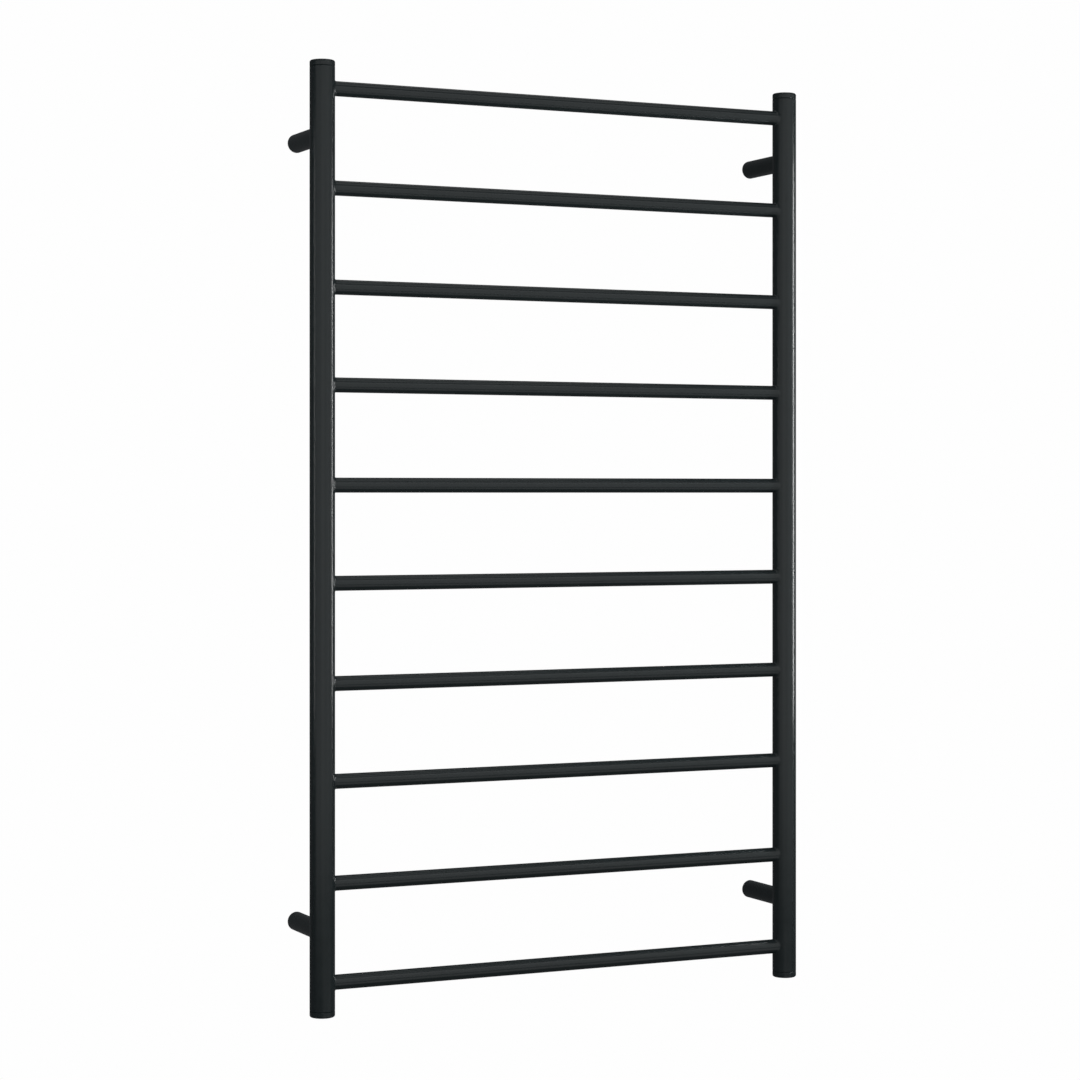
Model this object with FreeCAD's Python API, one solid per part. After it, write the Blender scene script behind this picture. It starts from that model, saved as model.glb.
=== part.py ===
"""Wall-hung electric towel warmer rack: two round uprights, ten round cross bars and four wall posts.

Millimetres. +X runs along the bars to the right, +Y points into the wall and +Z is up.
The origin is the centre of the four wall-screw holes, on the wall plane y = 0.
"""
import FreeCAD, Part
import itertools
import math
import os

Vector = FreeCAD.Vector
ALONG_X = Vector(1, 0, 0)
TO_WALL = Vector(0, 1, 0)
TO_FRONT = Vector(0, -1, 0)
UP = Vector(0, 0, 1)

# Rack
RACK_HEIGHT = 1200.0  # cap face to cap face
UPRIGHT_SPACING = 668.0  # axis to axis, 700 over the uprights
UPRIGHT_R = 16.0
UPRIGHT_WALL = 1.5
BAR_R = 9.5
BAR_WALL = 1.2
TOP_BAR_DROP = 34.5  # rack's top to the top bar's axis
BAR_PITCHES = (125.0, 124.5, 123.0, 126.0, 123.5, 126.0, 123.0, 128.0, 124.5)  # from the top bar down

# Wall fixing
STANDOFF = 95.0  # wall to the uprights' axis
POST_SPACING = 1000.0
TOP_POST_DROP = 93.5  # rack's top to the upper posts' axis
POST_R = 12.0
POST_EDGE = 0.5  # chamfer at the post's wall end
SOCKET_R = 9.5  # bore in the post that slides over the boss
SHOULDER_Y = -60.0  # floor of that bore
FLANGE_THICKNESS = 3.0
STUB_R = 9.4
STUB_LENGTH = 20.0
WALL_SCREW_DROP = 4.2  # wall screw's axis below its post's axis
WALL_SCREW_HOLE_R = 2.3
WALL_SCREW_HEAD_R = 4.5
CABLE_HOLE_RISE = 5.0  # cable hole's axis above its post's axis
CABLE_HOLE_R = 3.6

# End caps
CAP_HEAD = 8.0
CAP_ROUND = 2.5
CAP_LIP = 0.8  # chamfer at the seam with the upright
SPIGOT_R = 14.4
SPIGOT_LENGTH = 14.0
GROOVE_R = 12.8
GROOVE_WIDTH = 2.6
GROOVE_DEPTH_IN = 6.0  # cap seam to the middle of the groove
O_RING_SECTION_R = 0.84

# Grub screws, one under each post
GRUB_Y = -14.0
GRUB_R = 2.45
GRUB_TAP_R = 2.5
GRUB_SINK = 0.1  # outer end below the post's surface
GRUB_DOG_R = 1.5
GRUB_DOG_HOLE_R = 1.6
GRUB_DOG_REACH = 1.4  # dog point's length inside the stub
GRUB_DOG_CLEARANCE = 0.1  # dog point to the floor of its hole
GRUB_KEY = 2.5
GRUB_KEY_DEPTH = 1.8

# M6 screws and inserts of the three plain posts
SCREW_R = 2.95
SCREW_HOLE_R = 3.3
SCREW_HEAD_R = 5.0
SCREW_HEAD_LENGTH = 6.0
SCREW_KEY = 5.0
SCREW_KEY_DEPTH = 3.0
SCREW_TIP_Y = -88.0
WASHER_R = 6.0
WASHER_THICKNESS = 1.6
INSERT_R = 5.5
INSERT_BORE_R = 3.0
INSERT_TIP_Y = -89.0

# M10 hollow bolt and insert of the wired post
HOLLOW_BOLT_R = 4.95
HOLLOW_BOLT_HOLE_R = 5.1
HOLLOW_BOLT_BORE_R = 3.2
HOLLOW_BOLT_KEY = 14.0
HOLLOW_BOLT_HEAD = 5.0
HOLLOW_INSERT_R = 8.0
HOLLOW_INSERT_BORE_R = 5.0

# Heating cable
CABLE_R = 2.0
CABLE_BEND = 12.0
RETURN_X = -7.0  # return run beside the upright's axis
RETURN_Y = -5.5
RETURN_END_RISE = 55.0  # end of the return run above the wired post
SPLICE_R = 3.0
SPLICE_LENGTH = 20.0
SPLICE_GRIP = 7.0  # length of cable or lead held in each end
CUTOUT_R = 3.5
CUTOUT_LENGTH = 26.0

# Leads, earth tag and terminal block of the wired post
LEAD_R = 1.0
LEAD_BEND = 5.0
LEAD_GAP = 1.4  # either side of the bolt's axis
LEAD_STRAIGHT = 2.0  # straight end of a lead beyond the terminal block
LEAD_ENTRY = 1.0  # last bend of a lead before the bolt's head
NEUTRAL_RISE = 15.0  # neutral lead's bend towards the cut-out, above the wired post
EARTH_BEND = 2.5
EARTH_STRAIGHT = 0.8  # straight ends of the earth lead between block and barrel
EARTH_GRIP = 2.5  # earth lead's length in the barrel
TAG_THICKNESS = 0.8
TAG_R = 7.6
TAG_HOLE_R = 5.05
TAG_TONGUE = 3.6
TAG_BARREL_R = 1.6
TAG_BARREL_LENGTH = 5.0
TAG_BARREL_GAP = 0.5  # bolt's head to the barrel
TAG_BARREL_FLOOR = 1.0
TAG_BARREL_LAP = 0.5  # barrel's overlap on the tongue
BLOCK_R = 9.2
BLOCK_NEAR_Y = -28.0
BLOCK_FAR_Y = -44.0
POLE_RADIUS = 5.5
POLE_ANGLES = (90.0, 210.0, 330.0)  # earth, live, neutral
BARREL_R = 2.4
BARREL_BORE_R = 1.5
BARREL_INSET = 1.0
TERMINAL_SCREW_R = 1.3
TERMINAL_SCREW_INSET = 4.5
TERMINAL_SLOT = 0.5
TERMINAL_SCREW_SINK = 0.4

# Grommet of the cable outlet
GROMMET_BORE_R = 3.1
GROMMET_LIP_R = 4.2
GROMMET_LIP = 0.8

CUT_PAST = 1.0  # cutters run this far past a surface
SAME_PLACE = 0.01  # edges this close to a plane lie in it

# Places worked out from the sizes above
SIDES = {"left": -UPRIGHT_SPACING / 2, "right": UPRIGHT_SPACING / 2}
RAIL_Y = -STANDOFF
POST_Z = {"top": POST_SPACING / 2 + WALL_SCREW_DROP}
POST_Z["bottom"] = POST_Z["top"] - POST_SPACING
RACK_TOP = POST_Z["top"] + TOP_POST_DROP
RACK_BOTTOM = RACK_TOP - RACK_HEIGHT
BAR_Z = [RACK_TOP - drop for drop in itertools.accumulate(BAR_PITCHES, initial=TOP_BAR_DROP)]
TUBE_TOP = RACK_TOP - CAP_HEAD
TUBE_BOTTOM = RACK_BOTTOM + CAP_HEAD
STUB_Y = -FLANGE_THICKNESS - STUB_LENGTH
WIRED = ("bottom", "left")
TAG_Y = SHOULDER_Y + TAG_THICKNESS
TAG_BARREL_Y = TAG_Y + HOLLOW_BOLT_HEAD + TAG_BARREL_GAP
TAG_BARREL_END_Y = TAG_BARREL_Y + TAG_BARREL_LENGTH


def rod(radius, start, direction, length):
    return Part.makeCylinder(radius, length, start, direction)


def pipe(outer, inner, start, direction, length):
    return rod(outer, start, direction, length).cut(rod(inner, start, direction, length))


def hexagon(across_flats, start, direction, length):
    """Hexagonal prism with a flat facing +Z when its axis lies along Y."""
    corner = across_flats / math.sqrt(3)
    points = [
        Vector(corner * math.cos(math.radians(60 * i)), corner * math.sin(math.radians(60 * i)), 0)
        for i in range(7)
    ]
    face = Part.Face(Part.makePolygon(points))
    prism = face.extrude(UP * length)
    prism.Placement = FreeCAD.Placement(start, FreeCAD.Rotation(UP, direction))
    return prism


def sweep(radius, points, bend):
    """Round cable along straight runs joined by tangent arcs of one radius."""
    edges = []
    run_start = points[0]
    for before, corner, after in zip(points, points[1:], points[2:]):
        into = (corner - before).normalize()
        out = (after - corner).normalize()
        half_turn = into.getAngle(out) / 2
        reach = bend * math.tan(half_turn)
        arc_start = corner - into * reach
        arc_end = corner + out * reach
        inward = (out - into).normalize()
        arc_middle = corner + inward * (bend / math.cos(half_turn) - bend)
        edges.append(Part.LineSegment(run_start, arc_start).toShape())
        edges.append(Part.Arc(arc_start, arc_middle, arc_end).toShape())
        run_start = arc_end
    edges.append(Part.LineSegment(run_start, points[-1]).toShape())
    path = Part.Wire(edges)
    circle = Part.Circle(points[0], points[1] - points[0], radius)
    cable = path.makePipeShell([Part.Wire(circle.toShape())], True, False)
    fullness = cable.Volume / (math.pi * radius**2 * path.Length)
    print(f"run of {path.Length:.1f} mm, volume over section by length {fullness:.4f}")
    return cable


def edges_in_plane(solid, axis, place):
    """Edges of a solid that lie in the plane where a coordinate (X, Y or Z) has one value."""
    edges = []
    for edge in solid.Edges:
        low = getattr(edge.BoundBox, f"{axis}Min")
        high = getattr(edge.BoundBox, f"{axis}Max")
        if abs(low - place) < SAME_PLACE and abs(high - place) < SAME_PLACE:
            edges.append(edge)
    return edges


def save(node, *solids):
    """Write one node's solids to its STEP file."""
    shape = solids[0] if len(solids) == 1 else Part.makeCompound(list(solids))
    assert shape.isValid(), node
    assert len(shape.Solids) == len(solids), node
    shape.exportStep(f"parts/{node}.step")
    print(f"{node}: {len(solids)} solids, {shape.Volume / 1000:.2f} cm3")


def upright_body(x):
    """Solid round of an upright's outside, longer than the tube."""
    return rod(UPRIGHT_R, Vector(x, RAIL_Y, RACK_BOTTOM), UP, RACK_HEIGHT)


def is_wired(level, side):
    return (level, side) == WIRED


def make_upright(side):
    """Tube with a hole into each bar and a hole for each post's insert."""
    x = SIDES[side]
    inward = ALONG_X if side == "left" else -ALONG_X
    foot = Vector(x, RAIL_Y, TUBE_BOTTOM)
    tube = pipe(UPRIGHT_R, UPRIGHT_R - UPRIGHT_WALL, foot, UP, TUBE_TOP - TUBE_BOTTOM)
    for z in BAR_Z:
        tube = tube.cut(rod(BAR_R - BAR_WALL, Vector(x, RAIL_Y, z), inward, UPRIGHT_R + CUT_PAST))
    for level, z in POST_Z.items():
        radius = HOLLOW_INSERT_R if is_wired(level, side) else INSERT_R
        tube = tube.cut(rod(radius, Vector(x, RAIL_Y, z), TO_WALL, UPRIGHT_R + CUT_PAST))
    return tube


def make_bar(z):
    """Tube coped to both uprights."""
    bar = pipe(BAR_R, BAR_R - BAR_WALL, Vector(SIDES["left"], RAIL_Y, z), ALONG_X, UPRIGHT_SPACING)
    for x in SIDES.values():
        bar = bar.cut(upright_body(x))
    return bar


def make_cap(level, side):
    """Flush round head with a rounded rim, and a grooved spigot inside the tube."""
    way = UP if level == "top" else -UP
    seam = Vector(SIDES[side], RAIL_Y, TUBE_TOP if level == "top" else TUBE_BOTTOM)
    head = rod(UPRIGHT_R, seam, way, CAP_HEAD)
    head = head.makeFillet(CAP_ROUND, edges_in_plane(head, "Z", (seam + way * CAP_HEAD).z))
    head = head.makeChamfer(CAP_LIP, edges_in_plane(head, "Z", seam.z))
    spigot = rod(SPIGOT_R, seam, -way, SPIGOT_LENGTH)
    groove_start = seam - way * (GROOVE_DEPTH_IN - GROOVE_WIDTH / 2)
    groove = pipe(SPIGOT_R + CUT_PAST, GROOVE_R, groove_start, -way, GROOVE_WIDTH)
    return head.fuse(spigot.cut(groove)).removeSplitter()


def make_o_ring(level, side):
    way = UP if level == "top" else -UP
    seam = Vector(SIDES[side], RAIL_Y, TUBE_TOP if level == "top" else TUBE_BOTTOM)
    middle_r = (GROOVE_R + UPRIGHT_R - UPRIGHT_WALL) / 2
    return Part.makeTorus(middle_r, O_RING_SECTION_R, seam - way * GROOVE_DEPTH_IN, UP)


def make_post(level, side):
    """Round post coped to the upright, with a socket for the wall boss and a hole for its screw."""
    axis = Vector(SIDES[side], 0, POST_Z[level])
    wall_end = axis + TO_FRONT * FLANGE_THICKNESS
    post = rod(POST_R, wall_end, TO_FRONT, STANDOFF - FLANGE_THICKNESS)
    post = post.makeChamfer(POST_EDGE, edges_in_plane(post, "Y", wall_end.y))
    post = post.cut(upright_body(SIDES[side]))
    post = post.cut(rod(SOCKET_R, wall_end, TO_FRONT, -SHOULDER_Y - FLANGE_THICKNESS))
    hole_r = HOLLOW_BOLT_HOLE_R if is_wired(level, side) else SCREW_HOLE_R
    post = post.cut(rod(hole_r, axis, TO_FRONT, STANDOFF))
    return post.cut(rod(GRUB_TAP_R, axis + Vector(0, GRUB_Y, 0), -UP, POST_R + CUT_PAST))


def make_boss(level, side):
    """Flange and stub with a countersunk wall-screw hole; the wired one has a cable hole above it."""
    axis = Vector(SIDES[side], 0, POST_Z[level])
    flange = rod(POST_R, axis, TO_FRONT, FLANGE_THICKNESS)
    boss = flange.makeChamfer(POST_EDGE, edges_in_plane(flange, "Y", -FLANGE_THICKNESS))
    boss = boss.fuse(rod(STUB_R, axis, TO_FRONT, -STUB_Y)).removeSplitter()
    screw_axis = axis - UP * WALL_SCREW_DROP
    boss = boss.cut(rod(WALL_SCREW_HOLE_R, screw_axis, TO_FRONT, -STUB_Y))
    sink_depth = WALL_SCREW_HEAD_R - WALL_SCREW_HOLE_R
    sink_start = screw_axis + TO_FRONT * (-STUB_Y - sink_depth)
    boss = boss.cut(Part.makeCone(WALL_SCREW_HOLE_R, WALL_SCREW_HEAD_R, sink_depth, sink_start, TO_FRONT))
    if is_wired(level, side):
        boss = boss.cut(rod(CABLE_HOLE_R, axis + UP * CABLE_HOLE_RISE, TO_FRONT, -STUB_Y))
    dog_floor = axis + Vector(0, GRUB_Y, -STUB_R + GRUB_DOG_REACH + GRUB_DOG_CLEARANCE)
    return boss.cut(rod(GRUB_DOG_HOLE_R, dog_floor, -UP, STUB_R))


def make_grub(level, side):
    """Dog-point grub screw that locks a post on its boss."""
    axis = Vector(SIDES[side], GRUB_Y, POST_Z[level])
    outer = axis - UP * (POST_R - GRUB_SINK)
    thread_length = POST_R - GRUB_SINK - SOCKET_R
    length = POST_R - GRUB_SINK - STUB_R + GRUB_DOG_REACH
    grub = rod(GRUB_R, outer, UP, thread_length).fuse(rod(GRUB_DOG_R, outer, UP, length)).removeSplitter()
    return grub.cut(hexagon(GRUB_KEY, outer, UP, GRUB_KEY_DEPTH))


def make_post_screw(level, side):
    """M6 socket cap screw from inside the post into the upright's insert."""
    seat = Vector(SIDES[side], SHOULDER_Y + WASHER_THICKNESS, POST_Z[level])
    head = rod(SCREW_HEAD_R, seat, TO_WALL, SCREW_HEAD_LENGTH)
    shank = rod(SCREW_R, seat, TO_FRONT, seat.y - SCREW_TIP_Y)
    key_floor = seat + TO_WALL * (SCREW_HEAD_LENGTH - SCREW_KEY_DEPTH)
    key = hexagon(SCREW_KEY, key_floor, TO_WALL, SCREW_KEY_DEPTH)
    return head.fuse(shank).removeSplitter().cut(key)


def make_washer(level, side):
    seat = Vector(SIDES[side], SHOULDER_Y, POST_Z[level])
    return pipe(WASHER_R, SCREW_HOLE_R, seat, TO_WALL, WASHER_THICKNESS)


def make_insert(level, side, outer, bore):
    """Threaded bush welded in the upright's back wall, flush with its outside."""
    tip = Vector(SIDES[side], INSERT_TIP_Y, POST_Z[level])
    bush = pipe(outer, bore, tip, TO_WALL, UPRIGHT_R)
    return bush.common(upright_body(SIDES[side]))


def make_hollow_bolt():
    """Hollow bolt that carries the leads from the wired post into the upright."""
    level, side = WIRED
    seat = Vector(SIDES[side], TAG_Y, POST_Z[level])
    head = hexagon(HOLLOW_BOLT_KEY, seat, TO_WALL, HOLLOW_BOLT_HEAD)
    shank = rod(HOLLOW_BOLT_R, seat, TO_FRONT, seat.y - SCREW_TIP_Y)
    bore = rod(HOLLOW_BOLT_BORE_R, seat + TO_WALL * HOLLOW_BOLT_HEAD, TO_FRONT, STANDOFF)
    return head.fuse(shank).cut(bore)


def make_earth_tag():
    """Ring clamped under the hollow bolt's head, with a tongue and a crimp barrel."""
    level, side = WIRED
    axis = Vector(SIDES[side], SHOULDER_Y, POST_Z[level])
    ring = pipe(TAG_R, TAG_HOLE_R, axis, TO_WALL, TAG_THICKNESS)
    tongue_length = TAG_BARREL_Y + TAG_BARREL_LAP - SHOULDER_Y
    tongue_corner = axis + Vector(-TAG_TONGUE / 2, 0, TAG_R - TAG_THICKNESS / 2)
    tongue = Part.makeBox(TAG_TONGUE, tongue_length, TAG_THICKNESS, tongue_corner)
    barrel_end = Vector(axis.x, TAG_BARREL_END_Y, axis.z + TAG_R)
    barrel = rod(TAG_BARREL_R, barrel_end, TO_FRONT, TAG_BARREL_LENGTH)
    tag = ring.fuse([tongue, barrel]).removeSplitter()
    return tag.cut(rod(LEAD_R, barrel_end, TO_FRONT, TAG_BARREL_LENGTH - TAG_BARREL_FLOOR))


def pole_axis(angle, y):
    """Point on a terminal pole's axis at depth y."""
    level, side = WIRED
    turn = math.radians(angle)
    across = POLE_RADIUS * math.cos(turn)
    above = POLE_RADIUS * math.sin(turn)
    return Vector(SIDES[side] + across, y, POST_Z[level] + above)


def terminal_screw_places():
    """Start on the pole's axis and outward direction of each terminal screw."""
    places = []
    for angle in POLE_ANGLES:
        turn = math.radians(angle)
        outward = Vector(math.cos(turn), 0, math.sin(turn))
        for y in (BLOCK_NEAR_Y - TERMINAL_SCREW_INSET, BLOCK_FAR_Y + TERMINAL_SCREW_INSET):
            places.append((pole_axis(angle, y), outward))
    return places


def make_terminal_block():
    level, side = WIRED
    length = BLOCK_NEAR_Y - BLOCK_FAR_Y
    block = rod(BLOCK_R, Vector(SIDES[side], BLOCK_NEAR_Y, POST_Z[level]), TO_FRONT, length)
    for angle in POLE_ANGLES:
        block = block.cut(rod(BARREL_R, pole_axis(angle, BLOCK_NEAR_Y), TO_FRONT, length))
    for start, outward in terminal_screw_places():
        block = block.cut(rod(TERMINAL_SCREW_R, start, outward, BLOCK_R))
    return block


def make_terminal_barrels():
    barrels = []
    length = BLOCK_NEAR_Y - BLOCK_FAR_Y - 2 * BARREL_INSET
    for angle in POLE_ANGLES:
        start = pole_axis(angle, BLOCK_NEAR_Y - BARREL_INSET)
        barrels.append(pipe(BARREL_R, BARREL_BORE_R, start, TO_FRONT, length))
    for index, (start, outward) in enumerate(terminal_screw_places()):
        pole = index // 2
        barrels[pole] = barrels[pole].cut(rod(TERMINAL_SCREW_R, start, outward, BLOCK_R))
    return barrels


def make_terminal_screws():
    """Slotted clamp screws; their tips stop at the leads."""
    screws = []
    for start, outward in terminal_screw_places():
        head = BLOCK_R - POLE_RADIUS - TERMINAL_SCREW_SINK
        screw = rod(TERMINAL_SCREW_R, start + outward * LEAD_R, outward, head - LEAD_R)
        slot = Part.makeBox(2 * BLOCK_R, TERMINAL_SLOT, TERMINAL_SLOT)
        corner = Vector(-BLOCK_R, -TERMINAL_SLOT / 2, -TERMINAL_SLOT / 2)
        centred = FreeCAD.Placement(corner, FreeCAD.Rotation())
        turn = FreeCAD.Rotation(ALONG_X, outward.cross(TO_WALL))
        slot.Placement = FreeCAD.Placement(start + outward * head, turn).multiply(centred)
        screws.append(screw.cut(slot))
    return screws


def heating_route():
    """From the splice through every bar and back down beside the left upright's axis."""
    start_z = splice_middle() - SPLICE_LENGTH / 2 + SPLICE_GRIP
    points = [Vector(SIDES["left"] + LEAD_GAP, RAIL_Y, start_z)]
    for z, far_side in zip(reversed(BAR_Z), itertools.cycle(("right", "left"))):
        points.append(Vector(points[-1].x, RAIL_Y, z))
        points.append(Vector(SIDES[far_side], RAIL_Y, z))
    return_x = SIDES["left"] + RETURN_X
    return_y = RAIL_Y + RETURN_Y
    points[-1] = Vector(return_x, return_y, BAR_Z[0])
    points.append(Vector(return_x, return_y, cutout_top() - SPLICE_GRIP))
    return points


def splice_middle():
    return (POST_Z["bottom"] + BAR_Z[-1]) / 2


def cutout_top():
    return POST_Z["bottom"] + RETURN_END_RISE


def make_splice():
    """Crimp splice between the live lead and the heating cable."""
    x = SIDES["left"] + LEAD_GAP
    foot = Vector(x, RAIL_Y, splice_middle() - SPLICE_LENGTH / 2)
    head = foot + UP * SPLICE_LENGTH
    splice = rod(SPLICE_R, foot, UP, SPLICE_LENGTH)
    splice = splice.cut(rod(CABLE_R, foot, UP, SPLICE_GRIP))
    return splice.cut(rod(LEAD_R, head, -UP, SPLICE_GRIP))


def make_cutout():
    """Thermal cut-out in its sleeve, between the heating cable's end and the neutral lead."""
    top = Vector(SIDES["left"] + RETURN_X, RAIL_Y + RETURN_Y, cutout_top())
    foot = top - UP * CUTOUT_LENGTH
    cutout = rod(CUTOUT_R, foot, UP, CUTOUT_LENGTH)
    cutout = cutout.cut(rod(CABLE_R, top, -UP, SPLICE_GRIP))
    return cutout.cut(rod(LEAD_R, foot, UP, SPLICE_GRIP))


def live_route():
    bolt_x = SIDES["left"] + LEAD_GAP
    post_z = POST_Z["bottom"]
    entry = pole_axis(POLE_ANGLES[2], BLOCK_FAR_Y + SPLICE_GRIP)
    return [
        entry,
        Vector(entry.x, BLOCK_FAR_Y - LEAD_STRAIGHT, entry.z),
        Vector(bolt_x, TAG_Y + HOLLOW_BOLT_HEAD + LEAD_ENTRY, post_z),
        Vector(bolt_x, RAIL_Y, post_z),
        Vector(bolt_x, RAIL_Y, splice_middle() + SPLICE_LENGTH / 2 - SPLICE_GRIP),
    ]


def neutral_route():
    bolt_x = SIDES["left"] - LEAD_GAP
    post_z = POST_Z["bottom"]
    entry = pole_axis(POLE_ANGLES[1], BLOCK_FAR_Y + SPLICE_GRIP)
    end = Vector(SIDES["left"] + RETURN_X, RAIL_Y + RETURN_Y, cutout_top() - CUTOUT_LENGTH + SPLICE_GRIP)
    return [
        entry,
        Vector(entry.x, BLOCK_FAR_Y - LEAD_STRAIGHT, entry.z),
        Vector(bolt_x, TAG_Y + HOLLOW_BOLT_HEAD + LEAD_ENTRY, post_z),
        Vector(bolt_x, RAIL_Y, post_z),
        Vector(end.x, end.y, post_z + NEUTRAL_RISE),
        end,
    ]


def earth_route():
    entry = pole_axis(POLE_ANGLES[0], BLOCK_FAR_Y + SPLICE_GRIP)
    tag_z = POST_Z["bottom"] + TAG_R
    return [
        entry,
        Vector(entry.x, BLOCK_FAR_Y - EARTH_STRAIGHT, entry.z),
        Vector(entry.x, TAG_BARREL_END_Y + EARTH_STRAIGHT, tag_z),
        Vector(entry.x, TAG_BARREL_END_Y - EARTH_GRIP, tag_z),
    ]


def make_grommet():
    """Rubber bush with a lip, in the wired boss's cable hole."""
    level, side = WIRED
    axis = Vector(SIDES[side], 0, POST_Z[level] + CABLE_HOLE_RISE)
    sleeve = pipe(CABLE_HOLE_R, GROMMET_BORE_R, axis, TO_FRONT, -STUB_Y)
    lip = pipe(GROMMET_LIP_R, GROMMET_BORE_R, axis + TO_FRONT * -STUB_Y, TO_FRONT, GROMMET_LIP)
    return sleeve.fuse(lip).removeSplitter()


def main():
    os.makedirs("parts", exist_ok=True)
    corners = [(level, side) for level in POST_Z for side in SIDES]
    plain_corners = [corner for corner in corners if corner != WIRED]

    for side in SIDES:
        save(f"upright_{side}", make_upright(side))
    for index, z in enumerate(BAR_Z):
        save(f"bar_{index + 1:02d}", make_bar(z))
    for level, side in corners:
        save(f"end_cap_{level}_{side}", make_cap(level, side))
        save(f"cap_o_ring_{level}_{side}", make_o_ring(level, side))
        save(f"wall_post_{level}_{side}", make_post(level, side))
        save(f"wall_boss_{level}_{side}", make_boss(level, side))
    save("grub_screws", *[make_grub(*corner) for corner in corners])

    save("post_screws", *[make_post_screw(*corner) for corner in plain_corners])
    save("post_washers", *[make_washer(*corner) for corner in plain_corners])
    save("post_inserts", *[make_insert(*corner, INSERT_R, INSERT_BORE_R) for corner in plain_corners])

    save("hollow_bolt", make_hollow_bolt())
    save("hollow_bolt_insert", make_insert(*WIRED, HOLLOW_INSERT_R, HOLLOW_INSERT_BORE_R))
    save("earth_tag", make_earth_tag())
    save("terminal_block", make_terminal_block())
    save("terminal_barrels", *make_terminal_barrels())
    save("terminal_screws", *make_terminal_screws())
    save("cable_grommet", make_grommet())

    save("heating_cable", sweep(CABLE_R, heating_route(), CABLE_BEND))
    save("cable_splice", make_splice())
    save("thermal_cutout", make_cutout())
    save("live_lead", sweep(LEAD_R, live_route(), LEAD_BEND))
    save("neutral_lead", sweep(LEAD_R, neutral_route(), LEAD_BEND))
    save("earth_lead", sweep(LEAD_R, earth_route(), EARTH_BEND))


main()
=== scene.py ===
"""Looks of a wall-hung towel warmer rack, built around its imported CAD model.

Metres, in the row frame: +X runs along the bars, +Y into the wall and +Z is up.
"""

import math
from collections import namedtuple

import bmesh
import bpy
from mathutils import Matrix, Vector


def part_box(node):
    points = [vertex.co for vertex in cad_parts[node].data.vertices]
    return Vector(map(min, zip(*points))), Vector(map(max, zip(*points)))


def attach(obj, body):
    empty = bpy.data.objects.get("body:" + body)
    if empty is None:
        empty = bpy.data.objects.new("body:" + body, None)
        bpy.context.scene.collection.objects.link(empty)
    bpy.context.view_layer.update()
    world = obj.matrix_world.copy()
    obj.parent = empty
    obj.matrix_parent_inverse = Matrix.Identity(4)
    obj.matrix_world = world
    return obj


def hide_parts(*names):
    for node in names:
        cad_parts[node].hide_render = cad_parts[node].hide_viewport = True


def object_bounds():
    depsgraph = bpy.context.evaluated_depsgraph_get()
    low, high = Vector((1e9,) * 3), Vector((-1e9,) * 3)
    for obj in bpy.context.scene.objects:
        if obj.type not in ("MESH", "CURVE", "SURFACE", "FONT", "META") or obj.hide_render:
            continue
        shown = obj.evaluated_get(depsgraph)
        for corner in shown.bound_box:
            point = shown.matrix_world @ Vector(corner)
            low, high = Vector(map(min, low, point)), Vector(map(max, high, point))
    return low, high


MM = 0.001
TO_FRONT = Vector((0, -1, 0))
UP = Vector((0, 0, 1))
ALONG_X = Vector((1, 0, 0))
ALONG_Y = Vector((0, 1, 0))
LEVELS = ("top", "bottom")
SIDES = ("left", "right")

# Tubes
COLUMNS = 96  # round each tube, from local +X towards local +Y
WALL_SIDE = COLUMNS // 4  # an upright's column that faces the wall
BAR_SIDE = {"left": 0, "right": COLUMNS // 2}  # each upright's column that faces the bars
UNDERSIDE = COLUMNS * 3 // 4  # a post's lowest column
UPRIGHT_WALL = 1.5 * MM
BAR_WALL = 1.2 * MM
TUBE_EDGE = 0.45 * MM  # chamfer at the seams between tubes and caps
PATCH_COLUMNS = 11  # half width of the patch round a bar's or a post's hole
PATCH_HEIGHT = 11 * MM  # half height of that patch
PATCH_ROWS = 5  # rows in that half height
PATCH_RINGS = 3  # rings between a hole's rim and its patch's edge
SADDLE_RINGS = 4  # across a coped end face
INSERT_R = 5.5 * MM
HOLLOW_INSERT_R = 8.0 * MM

# Welds between bars and uprights
WELD_LEG = 2.3 * MM
WELD_STEPS = 7  # across the fillet
WELD_SINK = 0.06 * MM  # toe of the fillet below the upright's surface
WELD_WAVES = ((3, 0.06), (5, 0.05), (8, 0.04))  # waves round the bar, and their share of the leg
WELD_PHASE = 2.4  # radians from one joint's waves to the next's

# End caps
CAP_ROUND = 2.5 * MM
CAP_ROUND_STEPS = 8
CAP_FLAT = 0.6 * MM  # flat ring inside the rounded rim
CAP_LIP = 0.8 * MM  # chamfer at the seam with the upright
SPIGOT_R = 14.4 * MM
SPIGOT_LENGTH = 14.0 * MM
SPIGOT_LEAD = 1.0 * MM  # chamfer at the spigot's end
GROOVE_R = 12.8 * MM
GROOVE_WIDTH = 2.6 * MM
GROOVE_FROM_SEAM = 6.0 * MM  # seam to the middle of the groove

# Wall posts
POST_EDGE = 0.5 * MM  # chamfer at the wall end
POST_COPE_EDGE = 0.3 * MM  # chamfer round the coped end
POST_COPE_CLEAR = 2.3 * MM  # from the last level row to the cope's nearest point
SOCKET_R = 9.5 * MM
SOCKET_FLOOR = 60.0 * MM  # from the wall
SCREW_HOLE_R = 3.3 * MM
HOLLOW_BOLT_HOLE_R = 5.1 * MM
GRUB_HOLE_R = 2.5 * MM
GRUB_FROM_WALL = 14.0 * MM
GRUB_PATCH_COLUMNS = 6
GRUB_PATCH_HEIGHT = 4.5 * MM

SHARP_ANGLE = math.radians(32)  # edges that turn more than this are shaded sharp

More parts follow.
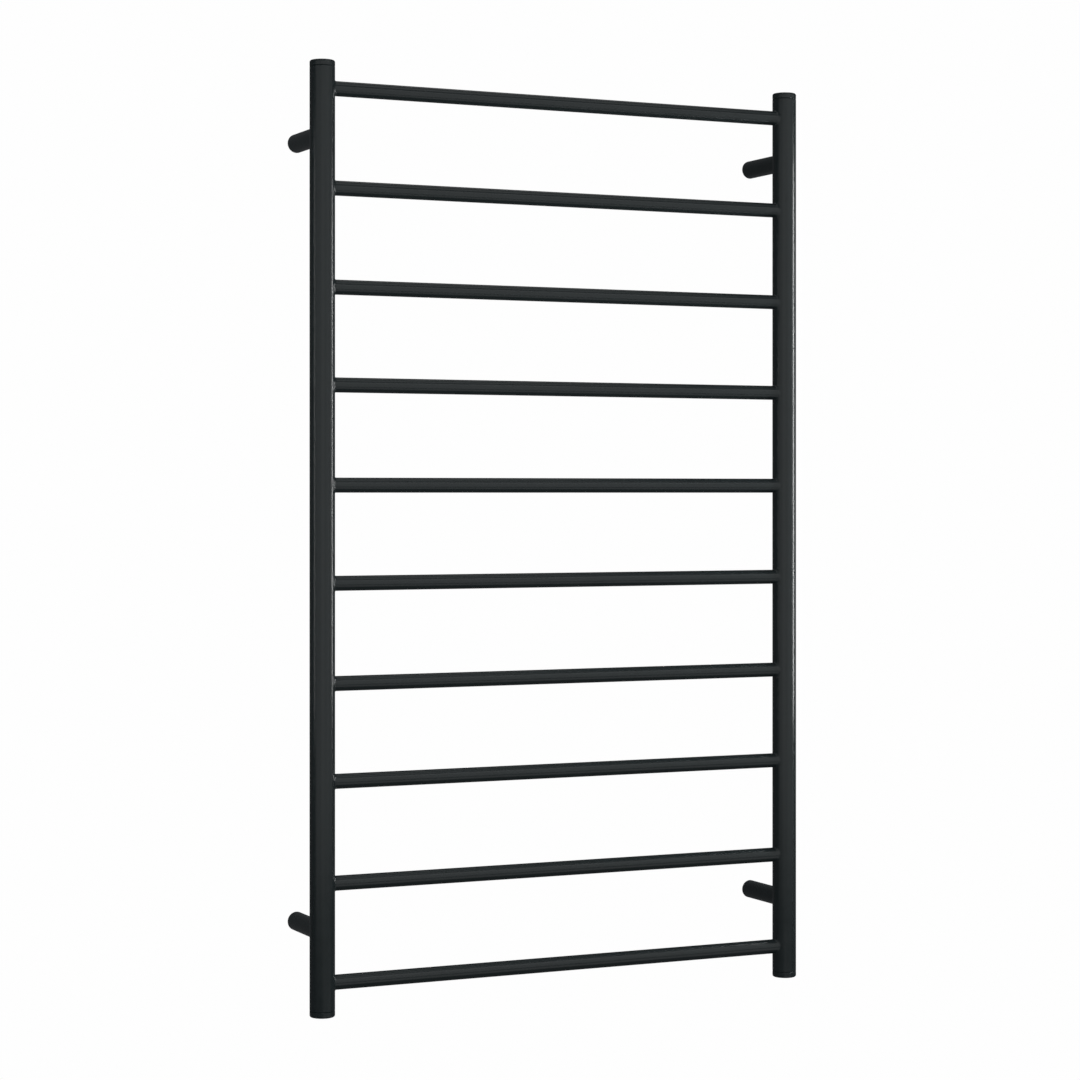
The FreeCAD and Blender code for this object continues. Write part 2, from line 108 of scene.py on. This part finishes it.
# Finishes: darkest and lightest colour, and lowest and highest roughness
Look = namedtuple("Look", "dark light rough")
POWDER_COAT = Look((0.0145, 0.0222, 0.0236), (0.0170, 0.0252, 0.0268), (0.22, 0.27))
BLACK_RUBBER = Look((0.010, 0.010, 0.010), (0.022, 0.022, 0.021), (0.62, 0.8))
OXIDE_STEEL = Look((0.03, 0.03, 0.033), (0.06, 0.06, 0.065), (0.32, 0.48))
BRIGHT_STEEL = Look((0.5, 0.49, 0.47), (0.6, 0.59, 0.57), (0.22, 0.4))
BRASS = Look((0.62, 0.43, 0.17), (0.72, 0.52, 0.24), (0.2, 0.36))
CREAM_PLASTIC = Look((0.66, 0.6, 0.47), (0.74, 0.69, 0.56), (0.4, 0.52))
RED_SILICONE = Look((0.34, 0.03, 0.022), (0.44, 0.05, 0.035), (0.45, 0.6))
BROWN_PVC = Look((0.095, 0.035, 0.012), (0.13, 0.05, 0.02), (0.35, 0.5))
BLUE_PVC = Look((0.012, 0.05, 0.24), (0.022, 0.075, 0.32), (0.35, 0.5))
GREEN_YELLOW_PVC = Look((0.024, 0.18, 0.042), (0.62, 0.50, 0.03), (0.35, 0.5))  # and its stripe
SHRINK_SLEEVE = Look((0.011, 0.011, 0.011), (0.02, 0.02, 0.02), (0.38, 0.55))

NOISE_LOW = 0.3  # most of a noise's values lie between these two
NOISE_HIGH = 0.7
COAT_IOR = 1.5
COAT_PEEL = 0.012 * MM  # depth of the powder coat's orange peel
COAT_GRAIN = 0.0012 * MM
RUBBER_IOR = 1.52
RUBBER_TONE_LOW = 0.35  # noise value up to which rubber is darkest
RUBBER_GRAIN = 0.006 * MM
DRAWN_STRETCH = (1, 0.1, 1)  # draws a metal's fine lines out along Y
DRAWN_LINES = 0.004 * MM
PLASTIC_GRAIN = 0.004 * MM
PLASTIC_SCALE = 600  # features per metre in its unevenness
SILICONE_SCALE = 300
GRAIN_RATIO = 6  # of plastic's grain to its unevenness, in features per metre
STRIPE_START = 0.3 * MM  # edge of the earth lead's yellow stripe, from the lead's axis
STRIPE_BLUR = 0.02 * MM

# Camera
CAMERA_PLACE = (-1.5156, -3.2682, 0.0545)
CAMERA_LEVEL = math.radians(90)  # tilt that looks along the floor
CAMERA_TURN = math.radians(-25.05)  # from facing the wall
CAMERA_LENS = 89.67  # mm
CAMERA_SENSOR = 36  # mm
CAMERA_SHIFT_Y = -0.0433  # sensor widths

# Lights
BANK_RADIUS = 1.9
BANK_HEIGHT = 0.15
BANK_WIDTH = 1.3
BANK_TALL = 1.7
FRONT_BANK = (  # name, degrees from straight ahead towards +X, and power in watts
    ("bank_left", -61, 3.1),
    ("bank_front_left", -22, 4.2),
    ("bank_front_right", 18, 3.9),
    ("bank_right", 55, 2.5),
)
RACK_PLANE = (0, -0.1, 0)  # what the softboxes above and below are aimed at
STRIP_HEIGHT = 0.14
STRIP_TALL = 0.85
REAR_TINT = (1, 0.80, 0.75)
AMBIENT = (0.078, 0.080, 0.083)  # dim light from all round

# Stage
BACKDROP = 0.991  # pale grey that shows as almost white
FLOOR_DROP = 0.45  # floor below the rack
FLOOR_HALF = 12.0  # half the square floor's side

Hole = namedtuple("Hole", "column height radius patch_columns patch_height")


class Shell:
    """Closed surface under construction."""

    def __init__(self):
        self.points = []
        self.faces = []

    def add(self, points):
        """Adds points and returns their numbers."""
        first = len(self.points)
        self.points.extend(points)
        return list(range(first, len(self.points)))

    def bridge(self, ring_a, ring_b):
        """Quads between two closed rings with as many points each."""
        for i in range(len(ring_a)):
            self.faces.append((ring_a[i - 1], ring_a[i], ring_b[i], ring_b[i - 1]))

    def loft(self, rings):
        """Quads from each ring to the next."""
        for ring_a, ring_b in zip(rings, rings[1:]):
            self.bridge(ring_a, ring_b)

    def lid(self, ring):
        """One face that closes a ring."""
        self.faces.append(tuple(ring))


def column_angle(column):
    """Angle of a column from local +X."""
    return 2 * math.pi * column / COLUMNS


def round_ring(shell, radius, height):
    """Ring about local Z. height is a number, or a function of the point's local x."""
    points = []
    for column in range(COLUMNS):
        x = radius * math.cos(column_angle(column))
        y = radius * math.sin(column_angle(column))
        points.append((x, y, height(x) if callable(height) else height))
    return shell.add(points)


def wall_levels(low, high, holes):
    """Heights of a wall's rows: its two ends, and the rows of each hole's patch."""
    levels = {low, high}
    for hole in holes:
        for row in range(-PATCH_ROWS, PATCH_ROWS + 1):
            levels.add(hole.height + row * hole.patch_height / PATCH_ROWS)
    return sorted(levels)


def patch_edge(hole):
    """Steps (column, row) from a hole's centre, anticlockwise round its patch."""
    wide, high = hole.patch_columns, PATCH_ROWS
    steps = [(column, -high) for column in range(-wide, wide)]
    steps += [(wide, row) for row in range(-high, high)]
    steps += [(column, high) for column in range(wide, -wide, -1)]
    steps += [(-wide, row) for row in range(high, -high, -1)]
    return steps


def inside_patch(hole, column, height):
    """True strictly inside a hole's patch."""
    across = (column - hole.column + COLUMNS // 2) % COLUMNS - COLUMNS // 2
    near = hole.patch_height - hole.patch_height / PATCH_ROWS / 2
    return abs(across) < hole.patch_columns and abs(height - hole.height) < near


def pierced_wall(shell, radius, levels, holes):
    """Round wall about local Z with holes.

    Returns its lowest ring, its highest ring and the holes' rims.
    """
    rows = []
    for height in levels:
        row = []
        for column in range(COLUMNS):
            if any(inside_patch(hole, column, height) for hole in holes):
                row.append(None)
            else:
                x = radius * math.cos(column_angle(column))
                y = radius * math.sin(column_angle(column))
                row += shell.add([(x, y, height)])
        rows.append(row)
    for low, high in zip(rows, rows[1:]):
        for column in range(COLUMNS):
            corners = (low[column - 1], low[column], high[column], high[column - 1])
            if None not in corners:
                shell.faces.append(corners)
    rims = [pierce(shell, radius, levels, rows, hole) for hole in holes]
    return rows[0], rows[-1], rims


def pierce(shell, radius, levels, rows, hole):
    """Rings that close in from a patch's edge to the hole's rim. Returns the rim."""
    middle_row = min(range(len(levels)), key=lambda i: abs(levels[i] - hole.height))
    steps = patch_edge(hole)
    rings = [[rows[middle_row + row][(hole.column + column) % COLUMNS] for column, row in steps]]
    for ring in range(1, PATCH_RINGS + 1):
        share = ring / PATCH_RINGS
        points = []
        for column, row in steps:
            turn = math.atan2(row / PATCH_ROWS, column / hole.patch_columns)
            edge_across = radius * math.sin(column_angle(column))
            edge_rise = hole.patch_height * row / PATCH_ROWS
            across = (1 - share) * edge_across + share * hole.radius * math.cos(turn)
            rise = (1 - share) * edge_rise + share * hole.radius * math.sin(turn)
            angle = column_angle(hole.column) + math.asin(across / radius)
            points.append((radius * math.cos(angle), radius * math.sin(angle), hole.height + rise))
        rings.append(shell.add(points))
    shell.loft(rings)
    return rings[-1]


def put_piece(node, shell, matrix):
    """Object from a shell, moved by a matrix, in place of a CAD node and with the rack's finish."""
    name = f"painted_{node}"
    mesh = bpy.data.meshes.new(name)
    mesh.from_pydata(shell.points, [], shell.faces)
    mesh.transform(matrix)
    work = bmesh.new()
    work.from_mesh(mesh)
    bmesh.ops.recalc_face_normals(work, faces=work.faces)
    work.to_mesh(mesh)
    work.free()
    mesh.shade_smooth()
    mesh.set_sharp_from_angle(angle=SHARP_ANGLE)
    mesh.materials.append(finishes["black_powder_coat"])
    piece = bpy.data.objects.new(name, mesh)
    bpy.context.scene.collection.objects.link(piece)
    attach(piece, "root")
    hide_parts(node)


def placement(origin, local_x, local_z):
    """Matrix from a local frame to the row frame."""
    local_y = local_z.cross(local_x)
    turn = Matrix((local_x, local_y, local_z)).transposed()
    return Matrix.Translation(origin) @ turn.to_4x4()


# Finishes


def new_finish(name):
    """Material with a Principled shader and row-frame texture coordinates."""
    material = bpy.data.materials.new(name)
    material.use_nodes = True
    nodes = material.node_tree.nodes
    shader = nodes["Principled BSDF"]
    place = nodes.new("ShaderNodeTexCoord")
    return material, shader, place.outputs["Object"]


def link(material, source, target):
    """Joins an output socket to an input."""
    material.node_tree.links.new(source, target)


def noise(material, place, scale, detail=2.0, roughness=0.5, stretch=None):
    """Noise texture; scale is in features per metre, and stretch multiplies it along each axis."""
    nodes = material.node_tree.nodes
    texture = nodes.new("ShaderNodeTexNoise")
    texture.inputs["Scale"].default_value = scale
    texture.inputs["Detail"].default_value = detail
    texture.inputs["Roughness"].default_value = roughness
    if stretch:
        mapping = nodes.new("ShaderNodeMapping")
        mapping.inputs["Scale"].default_value = stretch
        link(material, place, mapping.inputs["Vector"])
        place = mapping.outputs["Vector"]
    link(material, place, texture.inputs["Vector"])
    return texture.outputs["Fac"]


def paint(material, shader, look, value, low=NOISE_LOW, high=NOISE_HIGH):
    """Base colour from the look's dark, where value is low or less, to its light, from high on."""
    node = material.node_tree.nodes.new("ShaderNodeValToRGB")
    dark_stop, light_stop = node.color_ramp.elements
    dark_stop.position = low
    dark_stop.color = (*look.dark, 1)
    light_stop.position = high
    light_stop.color = (*look.light, 1)
    link(material, value, node.inputs["Fac"])
    link(material, node.outputs["Color"], shader.inputs["Base Color"])


def roughen(material, shader, look, value):
    """Roughness over the look's range, from the middle of a noise's range."""
    node = material.node_tree.nodes.new("ShaderNodeMapRange")
    node.inputs["From Min"].default_value = NOISE_LOW
    node.inputs["From Max"].default_value = NOISE_HIGH
    node.inputs["To Min"].default_value = look.rough[0]
    node.inputs["To Max"].default_value = look.rough[1]
    link(material, value, node.inputs["Value"])
    link(material, node.outputs["Result"], shader.inputs["Roughness"])


def relief(material, shader, layers):
    """Bump from layers, each a height value and its depth in metres."""
    normal = None
    for value, depth in layers:
        bump = material.node_tree.nodes.new("ShaderNodeBump")
        bump.inputs["Distance"].default_value = depth
        link(material, value, bump.inputs["Height"])
        if normal:
            link(material, normal, bump.inputs["Normal"])
        normal = bump.outputs["Normal"]
    link(material, normal, shader.inputs["Normal"])


def powder_coat():
    """Black semi-gloss powder coat: faint orange peel, a finer grain and slow changes in gloss."""
    material, shader, place = new_finish("powder_coat_black")
    shader.inputs["IOR"].default_value = COAT_IOR
    cloud = noise(material, place, scale=45, detail=3)
    peel = noise(material, place, scale=420, roughness=0.45)
    grain = noise(material, place, scale=2600, detail=1)
    paint(material, shader, POWDER_COAT, cloud)
    roughen(material, shader, POWDER_COAT, cloud)
    relief(material, shader, [(peel, COAT_PEEL), (grain, COAT_GRAIN)])
    return material


def rubber():
    """Dull black rubber with a grey bloom."""
    material, shader, place = new_finish("rubber_black")
    shader.inputs["IOR"].default_value = RUBBER_IOR
    bloom = noise(material, place, scale=700, detail=4)
    paint(material, shader, BLACK_RUBBER, bloom, low=RUBBER_TONE_LOW)
    roughen(material, shader, BLACK_RUBBER, bloom)
    relief(material, shader, [(noise(material, place, scale=5000), RUBBER_GRAIN)])
    return material


def metal(name, look):
    """Metal with fine lines along Y, as on drawn stock."""
    material, shader, place = new_finish(name)
    shader.inputs["Metallic"].default_value = 1.0
    lines = noise(material, place, scale=900, detail=3, roughness=0.6, stretch=DRAWN_STRETCH)
    cloud = noise(material, place, scale=160, detail=3)
    paint(material, shader, look, cloud)
    roughen(material, shader, look, lines)
    relief(material, shader, [(lines, DRAWN_LINES)])
    return material


def plastic(name, look, scale=PLASTIC_SCALE):
    """Moulded or extruded plastic with a slight unevenness and a fine grain."""
    material, shader, place = new_finish(name)
    cloud = noise(material, place, scale, detail=3)
    paint(material, shader, look, cloud)
    roughen(material, shader, look, cloud)
    relief(material, shader, [(noise(material, place, GRAIN_RATIO * scale), PLASTIC_GRAIN)])
    return material


def striped_pvc():
    """Green insulation with a yellow stripe along the side of the earth lead that faces +X."""
    material, shader, place = new_finish("pvc_green_yellow")
    stripe_x = middle(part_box("earth_lead")).x + STRIPE_START
    nodes = material.node_tree.nodes
    split = nodes.new("ShaderNodeSeparateXYZ")
    link(material, place, split.inputs["Vector"])
    across = nodes.new("ShaderNodeMapRange")
    across.inputs["From Min"].default_value = stripe_x - STRIPE_BLUR
    across.inputs["From Max"].default_value = stripe_x + STRIPE_BLUR
    link(material, split.outputs["X"], across.inputs["Value"])
    paint(material, shader, GREEN_YELLOW_PVC, across.outputs["Result"], low=0, high=1)
    cloud = noise(material, place, PLASTIC_SCALE, detail=3)
    roughen(material, shader, GREEN_YELLOW_PVC, cloud)
    relief(material, shader, [(noise(material, place, GRAIN_RATIO * PLASTIC_SCALE), PLASTIC_GRAIN)])
    return material


def make_finishes():
    """Finish for each of the record's material slots."""
    return {
        "black_powder_coat": powder_coat(),
        "black_rubber": rubber(),
        "black_oxide_steel": metal("oxide_steel", OXIDE_STEEL),
        "stainless_steel": metal("steel_bright", BRIGHT_STEEL),
        "brass": metal("brass_turned", BRASS),
        "cream_plastic": plastic("plastic_cream", CREAM_PLASTIC),
        "red_silicone": plastic("silicone_red", RED_SILICONE, SILICONE_SCALE),
        "brown_pvc": plastic("pvc_brown", BROWN_PVC),
        "blue_pvc": plastic("pvc_blue", BLUE_PVC),
        "green_pvc": striped_pvc(),
        "heat_shrink": plastic("shrink_sleeve", SHRINK_SLEEVE),
    }


def finish_nodes():
    """Every CAD node gets its slot's finish."""
    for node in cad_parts.values():
        slot = node.material_slots[0]
        slot.material = finishes[slot.material.name]


# Rack


def middle(box):
    """Centre of a box given by its two corners."""
    low, high = box
    return (low + high) / 2


def size(box):
    """Widths of a box along X, Y and Z."""
    low, high = box
    return high - low


def is_wired(level, side):
    """True for the post that the supply comes in through."""
    return (level, side) == ("bottom", "left")


def make_upright(side):
    """Tube with a hole into each bar and one for each post's insert."""
    node = f"upright_{side}"
    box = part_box(node)
    outer_r = size(box).x / 2
    inner_r = outer_r - UPRIGHT_WALL
    low, high = box[0].z, box[1].z
    bar_bore = size(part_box(bar_nodes[0])).z / 2 - BAR_WALL
    patch = (PATCH_COLUMNS, PATCH_HEIGHT)
    holes = [Hole(BAR_SIDE[side], middle(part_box(bar)).z, bar_bore, *patch) for bar in bar_nodes]
    for level in LEVELS:
        post_z = middle(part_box(f"wall_post_{level}_{side}")).z
        radius = HOLLOW_INSERT_R if is_wired(level, side) else INSERT_R
        holes.append(Hole(WALL_SIDE, post_z, radius, *patch))
    shell = Shell()
    levels = wall_levels(low + TUBE_EDGE, high - TUBE_EDGE, holes)
    outer_low, outer_high, outer_rims = pierced_wall(shell, outer_r, levels, holes)
    levels = wall_levels(low, high, holes)
    inner_low, inner_high, inner_rims = pierced_wall(shell, inner_r, levels, holes)
    shell.loft([outer_low, round_ring(shell, outer_r - TUBE_EDGE, low), inner_low])
    shell.loft([outer_high, round_ring(shell, outer_r - TUBE_EDGE, high), inner_high])
    for outer_rim, inner_rim in zip(outer_rims, inner_rims):
        shell.bridge(outer_rim, inner_rim)
    centre = middle(box)
    put_piece(node, shell, Matrix.Translation((centre.x, centre.y, 0)))


def weld_leg(index, column):
    """Leg of a hand-made weld at one column: about WELD_LEG, with slow waves that differ by joint."""
    angle = column_angle(column)
    change = 0
    for waves, share in WELD_WAVES:
        change += share * math.sin(waves * angle + WELD_PHASE * index + waves)
    return WELD_LEG * (1 + change)


def weld_rings(shell, radius, reach, upright_r, sign, index):
    """Rings of one bar end's concave fillet, from the bar out onto the upright.

    reach is the local z of the upright's axis, and sign is +1 or -1 towards it.
    """

    def face(x):
        return reach - sign * math.sqrt(upright_r**2 - x**2)

    rings = []
    for step in range(WELD_STEPS + 1):
        share = step / WELD_STEPS
        points = []
        for column in range(COLUMNS):
            turn = column_angle(column)
            leg = weld_leg(index, column)
            corner_z = face(radius * math.cos(turn))
            toe_r = radius + leg
            toe_z = face(toe_r * math.cos(turn)) + sign * WELD_SINK
            r = radius + share**2 * leg
            z = (1 - share) ** 2 * (corner_z - sign * leg)
            z += 2 * share * (1 - share) * corner_z + share**2 * toe_z
            points.append((r * math.cos(turn), r * math.sin(turn), z))
        rings.append(shell.add(points))
    return rings


def make_bar(number, node):
    """Tube between the uprights, with a weld fillet at each end."""
    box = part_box(node)
    radius = size(box).z / 2
    bore = radius - BAR_WALL
    upright_r = size(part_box("upright_left")).x / 2
    centre = middle(box)
    reach = middle(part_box("upright_right")).x - centre.x
    shell = Shell()
    ends = []
    for sign in (-1, 1):
        index = 2 * number + (sign > 0)
        rings = weld_rings(shell, radius, sign * reach, upright_r, sign, index)

        def saddle(x):
            return sign * (reach - math.sqrt(upright_r**2 - x**2) + WELD_SINK)

        for ring in range(1, SADDLE_RINGS + 1):
            r = radius + (bore - radius) * ring / SADDLE_RINGS
            rings.append(round_ring(shell, r, saddle))
        shell.loft(rings)
        ends.append(rings)
    shell.bridge(ends[0][0], ends[1][0])
    shell.bridge(ends[0][-1], ends[1][-1])
    put_piece(node, shell, placement(centre, ALONG_Y, ALONG_X))


def make_cap(level, side):
    """Turned cap: flush head with a rounded rim, and a grooved spigot inside the tube."""
    node = f"end_cap_{level}_{side}"
    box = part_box(node)
    radius = size(box).x / 2
    head = size(box).z - SPIGOT_LENGTH
    groove_near = -(GROOVE_FROM_SEAM - GROOVE_WIDTH / 2)
    groove_far = -(GROOVE_FROM_SEAM + GROOVE_WIDTH / 2)
    profile = [
        (SPIGOT_R - SPIGOT_LEAD - CAP_FLAT, -SPIGOT_LENGTH),
        (SPIGOT_R - SPIGOT_LEAD, -SPIGOT_LENGTH),
        (SPIGOT_R, -SPIGOT_LENGTH + SPIGOT_LEAD),
        (SPIGOT_R, groove_far),
        (GROOVE_R, groove_far),
        (GROOVE_R, groove_near),
        (SPIGOT_R, groove_near),
        (SPIGOT_R, 0),
        (radius - CAP_LIP, 0),
        (radius, CAP_LIP),
        (radius, head - CAP_ROUND - CAP_FLAT),
    ]
    for step in range(CAP_ROUND_STEPS + 1):
        turn = math.pi / 2 * step / CAP_ROUND_STEPS
        r = radius - CAP_ROUND + CAP_ROUND * math.cos(turn)
        profile.append((r, head - CAP_ROUND + CAP_ROUND * math.sin(turn)))
    profile.append((radius - CAP_ROUND - CAP_FLAT, head))
    shell = Shell()
    rings = [round_ring(shell, r, z) for r, z in profile]
    shell.loft(rings)
    shell.lid(rings[0])
    shell.lid(rings[-1])
    centre = middle(box)
    way = UP if level == "top" else -UP
    outer_end = box[1].z if level == "top" else box[0].z
    seam = Vector((centre.x, centre.y, outer_end - way.z * head))
    put_piece(node, shell, placement(seam, ALONG_X, way))


def make_post(level, side):
    """Post coped to the upright, with the boss's socket, its screw's hole and the grub screw's hole."""
    node = f"wall_post_{level}_{side}"
    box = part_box(node)
    radius = size(box).x / 2
    centre = middle(box)
    upright_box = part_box(f"upright_{side}")
    upright_r = size(upright_box).x / 2
    standoff = -middle(upright_box).y
    wall_end = -box[1].y
    hole_r = HOLLOW_BOLT_HOLE_R if is_wired(level, side) else SCREW_HOLE_R

    def cope(x):
        return standoff - math.sqrt(upright_r**2 - x**2)

    hole = Hole(UNDERSIDE, GRUB_FROM_WALL, GRUB_HOLE_R, GRUB_PATCH_COLUMNS, GRUB_PATCH_HEIGHT)
    shell = Shell()
    levels = wall_levels(wall_end + POST_EDGE, cope(0) - POST_COPE_CLEAR, [hole])
    outer_low, outer_high, outer_rims = pierced_wall(shell, radius, levels, [hole])
    levels = wall_levels(wall_end, SOCKET_FLOOR, [hole])
    inner_low, inner_high, inner_rims = pierced_wall(shell, SOCKET_R, levels, [hole])
    shell.loft([outer_low, round_ring(shell, radius - POST_EDGE, wall_end), inner_low])
    shell.bridge(outer_rims[0], inner_rims[0])
    rings = [inner_high, round_ring(shell, hole_r, SOCKET_FLOOR)]
    for ring in range(SADDLE_RINGS + 1):
        r = hole_r + (radius - POST_COPE_EDGE - hole_r) * ring / SADDLE_RINGS
        rings.append(round_ring(shell, r, cope))
    rings.append(round_ring(shell, radius, lambda x: cope(x) - POST_COPE_EDGE))
    rings.append(outer_high)
    shell.loft(rings)
    origin = Vector((centre.x, 0, centre.z))
    put_piece(node, shell, placement(origin, ALONG_X, TO_FRONT))


# Studio


def make_camera():
    """Level camera in front of the rack, to its left."""
    camera = bpy.data.objects.new("camera", bpy.data.cameras.new("camera"))
    bpy.context.scene.collection.objects.link(camera)
    camera.location = CAMERA_PLACE
    camera.rotation_euler = (CAMERA_LEVEL, 0, CAMERA_TURN)
    camera.data.lens = CAMERA_LENS
    camera.data.sensor_width = CAMERA_SENSOR
    camera.data.shift_y = CAMERA_SHIFT_Y
    bpy.context.scene.camera = camera


def softbox(name, place, target, width, height, power):
    """Rectangular lamp aimed at a point, unseen by the camera."""
    light = bpy.data.lights.new(name, "AREA")
    light.shape = "RECTANGLE"
    light.size = width
    light.size_y = height
    light.energy = power
    lamp = bpy.data.objects.new(name, light)
    bpy.context.scene.collection.objects.link(lamp)
    lamp.location = place
    lamp.rotation_euler = (Vector(target) - Vector(place)).to_track_quat("-Z", "Y").to_euler()
    lamp.visible_camera = False
    return lamp


def strip(side, place, width, power):
    """Narrow lamp beside one end of the rack, aimed at that end's upright."""
    axis = middle(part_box(f"upright_{side}"))
    softbox(f"{side}_strip", place, (axis.x, axis.y, STRIP_HEIGHT), width, STRIP_TALL, power)


def make_lights():
    """A soft bank round the front, softboxes above, below and behind, and a strip beside each end."""
    for name, azimuth, power in FRONT_BANK:
        turn = math.radians(azimuth)
        place = (BANK_RADIUS * math.sin(turn), -BANK_RADIUS * math.cos(turn), BANK_HEIGHT)
        softbox(name, place, (0, 0, BANK_HEIGHT), BANK_WIDTH, BANK_TALL, power)
    softbox("high_softbox", (0.6, -1.9, 1.4), RACK_PLANE, width=2.0, height=0.6, power=3.2)
    softbox("overhead_softbox", (0.0, -0.8, 2.2), RACK_PLANE, width=2.4, height=1.0, power=4.4)
    softbox("low_softbox", (0.4, -1.5, -1.3), RACK_PLANE, width=2.4, height=0.8, power=2.9)
    strip("right", (0.90, -0.28, STRIP_HEIGHT), width=0.085, power=3.5)
    strip("left", (-0.93, -0.045, STRIP_HEIGHT), width=0.03, power=0.46)
    softbox("back_overhead_softbox", (0.0, 0.7, 2.2), RACK_PLANE, width=2.4, height=1.0, power=3.5)
    rear = softbox("rear_softbox", (1.45, 3.1, 0.1), (0, 0, 0), width=1.0, height=1.6, power=126)
    rear.data.color = REAR_TINT
    rear.visible_glossy = False


def make_world():
    """White to the camera, dim to everything else."""
    world = bpy.data.worlds.new("studio")
    bpy.context.scene.world = world
    world.use_nodes = True
    nodes = world.node_tree.nodes
    links = world.node_tree.links
    nodes.clear()
    path = nodes.new("ShaderNodeLightPath")
    seen = nodes.new("ShaderNodeBackground")
    seen.inputs["Color"].default_value = (BACKDROP, BACKDROP, BACKDROP, 1)
    dim = nodes.new("ShaderNodeBackground")
    dim.inputs["Color"].default_value = (*AMBIENT, 1)
    mix = nodes.new("ShaderNodeMixShader")
    output = nodes.new("ShaderNodeOutputWorld")
    links.new(path.outputs["Is Camera Ray"], mix.inputs["Fac"])
    links.new(dim.outputs["Background"], mix.inputs[1])
    links.new(seen.outputs["Background"], mix.inputs[2])
    links.new(mix.outputs["Shader"], output.inputs["Surface"])


def make_floor(rack_bottom):
    """Plain pale floor as bright as the backdrop, clear from below."""
    mesh = bpy.data.meshes.new("floor")
    z = rack_bottom - FLOOR_DROP
    corners = [(-FLOOR_HALF, -FLOOR_HALF, z), (FLOOR_HALF, -FLOOR_HALF, z)]
    corners += [(FLOOR_HALF, FLOOR_HALF, z), (-FLOOR_HALF, FLOOR_HALF, z)]
    mesh.from_pydata(corners, [], [(0, 1, 2, 3)])
    floor = bpy.data.objects.new("floor", mesh)
    bpy.context.scene.collection.objects.link(floor)
    material = bpy.data.materials.new("floor_pale")
    material.use_nodes = True
    nodes = material.node_tree.nodes
    nodes.clear()
    glow = nodes.new("ShaderNodeEmission")
    glow.inputs["Color"].default_value = (BACKDROP, BACKDROP, BACKDROP, 1)
    clear = nodes.new("ShaderNodeBsdfTransparent")
    geometry = nodes.new("ShaderNodeNewGeometry")
    mix = nodes.new("ShaderNodeMixShader")
    output = nodes.new("ShaderNodeOutputMaterial")
    link(material, geometry.outputs["Backfacing"], mix.inputs["Fac"])
    link(material, glow.outputs["Emission"], mix.inputs[1])
    link(material, clear.outputs["BSDF"], mix.inputs[2])
    link(material, mix.outputs["Shader"], output.inputs["Surface"])
    mesh.materials.append(material)
    floor.visible_diffuse = False
    floor.visible_glossy = False
    floor.visible_shadow = False


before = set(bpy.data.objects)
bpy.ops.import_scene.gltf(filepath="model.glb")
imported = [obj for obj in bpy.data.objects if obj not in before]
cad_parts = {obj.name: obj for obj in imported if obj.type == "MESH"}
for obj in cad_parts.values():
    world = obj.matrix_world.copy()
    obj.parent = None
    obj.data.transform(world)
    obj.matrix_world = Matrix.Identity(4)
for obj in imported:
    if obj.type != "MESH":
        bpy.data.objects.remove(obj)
cad_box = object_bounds()
bar_nodes = sorted(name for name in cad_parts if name.startswith("bar_"))
finishes = make_finishes()
finish_nodes()

for side in SIDES:
    make_upright(side)
for number, node in enumerate(bar_nodes):
    make_bar(number, node)
for level in LEVELS:
    for side in SIDES:
        make_cap(level, side)
        make_post(level, side)

make_camera()
make_lights()
make_world()
make_floor(cad_box[0].z)
bpy.context.scene.view_settings.view_transform = "Standard"
